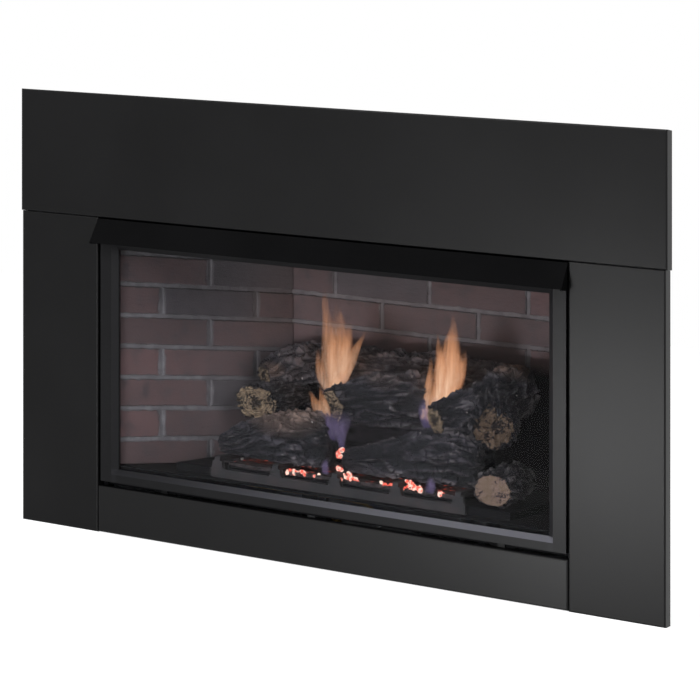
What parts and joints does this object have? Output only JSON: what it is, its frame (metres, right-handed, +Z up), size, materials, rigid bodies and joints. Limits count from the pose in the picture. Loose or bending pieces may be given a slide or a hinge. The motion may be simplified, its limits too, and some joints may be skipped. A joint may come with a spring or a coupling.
{
  "type": "gas fireplace insert",
  "caption": "Glazed gas fireplace insert with a wide flat steel surround, sloped hood, brick-lined firebox, log set on a grate and a drop-down panel over the controls.",
  "frame": {"origin": "on the hearth, at the middle of the bounding box in plan", "axes": "+Z up, -Y towards the room (the surround and the glass face -Y), +X to the right seen from the room"},
  "size_m": [1.143, 0.456, 0.737],
  "materials": {
    "surround_black": "satin black paint",
    "frame_black": "satin black paint",
    "heat_black": "matte high-temperature paint",
    "galvanised": "galvanised sheet",
    "steel": "plain steel",
    "cast_iron": "matte",
    "cast_aluminium": "die cast",
    "brass": "machined",
    "ceramic_glass": "clear ceramic glass",
    "rope_gasket": "glass-fibre rope",
    "brick": "moulded brick relief, dull red and grey",
    "charred_log": "charred bark with tan cut ends",
    "ember": "rough ember slab",
    "black_plastic": "moulded",
    "red_plastic": "moulded",
    "white_ceramic": "glazed"
  },
  "bodies": {
    "insert": {"surround_top_panel": "surround_black", "surround_left_panel": "surround_black", "surround_right_panel": "surround_black", "hood": "surround_black", "surround_bracket_left": "galvanised", "surround_bracket_right": "galvanised", "door_magnet_left": "black_plastic", "door_magnet_right": "black_plastic", "glass_hinge_rod": "steel", "firebox_face": "heat_black", "firebox_shell": "heat_black", "brick_liner_back": "brick", "brick_liner_left": "brick", "brick_liner_right": "brick", "firebox_baffle": "heat_black", "outer_case": "galvanised", "firebox_leg_left": "galvanised", "firebox_leg_right": "galvanised", "vent_plate": "galvanised", "exhaust_collar": "steel", "air_intake_collar": "steel", "burner_platform": "heat_black", "burner_pan": "heat_black", "ember_bed": "ember", "fire_grate": "cast_iron", "log_rear": "charred_log", "log_front_left": "charred_log", "log_front_right": "charred_log", "log_round_end": "charred_log", "log_left_cross": "charred_log", "log_centre": "charred_log", "log_right_forked": "charred_log", "log_upper_left": "charred_log", "pilot_bracket": "galvanised", "pilot_burner": "steel", "thermopile": "steel", "spark_electrode": "white_ceramic", "venturi_tube": "cast_aluminium", "gas_valve_body": "cast_aluminium", "valve_cradle": "galvanised", "control_plate": "galvanised", "igniter_body": "black_plastic", "switch_body": "black_plastic", "gas_inlet_pipe": "heat_black", "burner_supply_tube": "brass", "pilot_tube": "brass"},
    "glazed_front": {"glass_frame": "frame_black", "glass_pane": "ceramic_glass", "glass_gasket": "rope_gasket", "glass_clip_left": "galvanised", "glass_clip_right": "galvanised"},
    "access_door": {"access_panel": "surround_black"},
    "latch_left": {"glass_latch_left": "frame_black"},
    "latch_right": {"glass_latch_right": "frame_black"},
    "control_push": {"control_spindle": "brass"},
    "control_turn": {"control_knob": "black_plastic"},
    "flame_turn": {"flame_height_knob": "black_plastic"},
    "igniter_press": {"igniter_button": "red_plastic"},
    "rocker": {"burner_switch_rocker": "red_plastic"},
    "shutter": {"air_shutter": "galvanised"}
  },
  "joints": [
    {"name": "glazed_front_swing", "type": "hinge", "parent": "insert", "child": "glazed_front", "pos_m": [0, -0.186, 0.506], "axis": [-1, 0, 0], "range_deg": [0, 30]},
    {"name": "access_panel_drop", "type": "hinge", "parent": "insert", "child": "access_door", "pos_m": [0, -0.196, 0.0065], "axis": [1, 0, 0], "range_deg": [0, 88]},
    {"name": "latch_left_turn", "type": "hinge", "parent": "insert", "child": "latch_left", "pos_m": [-0.3, -0.178, 0.062], "axis": [0, 1, 0], "range_deg": [0, 75]},
    {"name": "latch_right_turn", "type": "hinge", "parent": "insert", "child": "latch_right", "pos_m": [0.3, -0.178, 0.062], "axis": [0, -1, 0], "range_deg": [0, 75]},
    {"name": "control_knob_push", "type": "slide", "parent": "insert", "child": "control_push", "axis": [0, 1, 0], "range_m": [0, 0.004], "stiffness_N_per_m": 800, "springref_m": -0.001},
    {"name": "control_knob_turn", "type": "hinge", "parent": "control_push", "child": "control_turn", "pos_m": [0.028, -0.16, 0.042], "axis": [0, -1, 0], "range_deg": [0, 180]},
    {"name": "flame_knob_turn", "type": "hinge", "parent": "insert", "child": "flame_turn", "pos_m": [0.092, -0.16, 0.042], "axis": [0, -1, 0], "range_deg": [0, 150]},
    {"name": "igniter_button_press", "type": "slide", "parent": "insert", "child": "igniter_press", "axis": [0, 1, 0], "range_m": [0, 0.006], "stiffness_N_per_m": 900, "springref_m": -0.001},
    {"name": "burner_switch_rock", "type": "hinge", "parent": "insert", "child": "rocker", "pos_m": [-0.22, -0.153, 0.042], "axis": [-1, 0, 0], "range_deg": [0, 16]},
    {"name": "air_shutter_turn", "type": "hinge", "parent": "insert", "child": "shutter", "pos_m": [-0.06, -0.02, 0.073], "axis": [0, 0, -1], "range_deg": [0, 40]}
  ]
}
